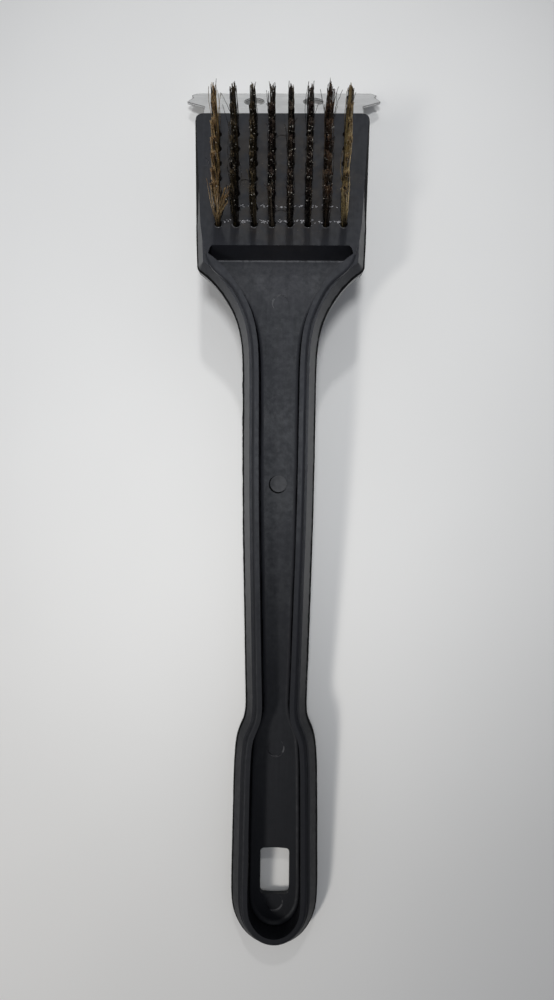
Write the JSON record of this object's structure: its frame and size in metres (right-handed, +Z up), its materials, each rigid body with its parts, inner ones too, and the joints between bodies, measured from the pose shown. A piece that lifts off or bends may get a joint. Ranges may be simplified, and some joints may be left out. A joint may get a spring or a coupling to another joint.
{
  "type": "grill cleaning brush",
  "caption": "Long-handled grill cleaning brush with an open-backed moulded handle, wire tufts in a flat head and a bent sheet scraper at the nose.",
  "frame": {"origin": "on the table the brush lies on, under the middle of its length and width; the lowest points, the grip's back and the scraper's front edge, are at Z = 0", "axes": "+Y along the brush from the grip towards the scraper, +Z up out of the bristle side, X across the head"},
  "size_m": [0.0964, 0.4008, 0.0725],
  "materials": {
    "black_plastic": "satin moulded",
    "bristle_wire": "tarnished wire",
    "anchor_wire": "plain",
    "stainless_sheet": "satin",
    "screw_steel": "zinc plated"
  },
  "bodies": {
    "root": {"brush_body": "black_plastic", "tuft_column_1": "bristle_wire", "tuft_column_2": "bristle_wire", "tuft_column_3": "bristle_wire", "tuft_column_4": "bristle_wire", "tuft_column_5": "bristle_wire", "tuft_column_6": "bristle_wire", "tuft_column_7": "bristle_wire", "tuft_column_8": "bristle_wire", "anchor_column_1": "anchor_wire", "anchor_column_2": "anchor_wire", "anchor_column_3": "anchor_wire", "anchor_column_4": "anchor_wire", "anchor_column_5": "anchor_wire", "anchor_column_6": "anchor_wire", "anchor_column_7": "anchor_wire", "anchor_column_8": "anchor_wire", "scraper_blade": "stainless_sheet", "scraper_screws": "screw_steel"}
  },
  "joints": []
}
